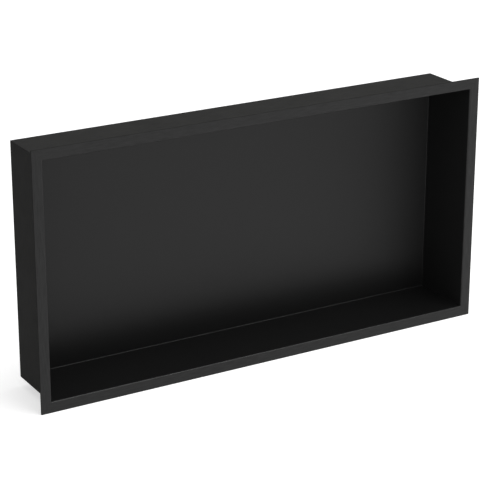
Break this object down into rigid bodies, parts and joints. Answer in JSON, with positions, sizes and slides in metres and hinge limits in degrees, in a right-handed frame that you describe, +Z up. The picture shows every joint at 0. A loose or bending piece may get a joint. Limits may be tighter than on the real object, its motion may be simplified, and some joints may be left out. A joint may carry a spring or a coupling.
{
  "type": "shower niche insert",
  "caption": "Rectangular recessed wall niche with a narrow flat flange, folded from sheet metal and coated satin black, set into a tiled shower wall to hold bottles and soap.",
  "frame": {"origin": "centre of the opening on the flange's rear face, which seats on the tiled wall", "axes": "+X along the opening, +Y into the wall, +Z up"},
  "size_m": [0.628, 0.09, 0.328],
  "materials": {
    "satin_black_coating": "satin black coating on stainless steel sheet"
  },
  "bodies": {
    "root": {"niche_body": "satin_black_coating"}
  },
  "joints": []
}
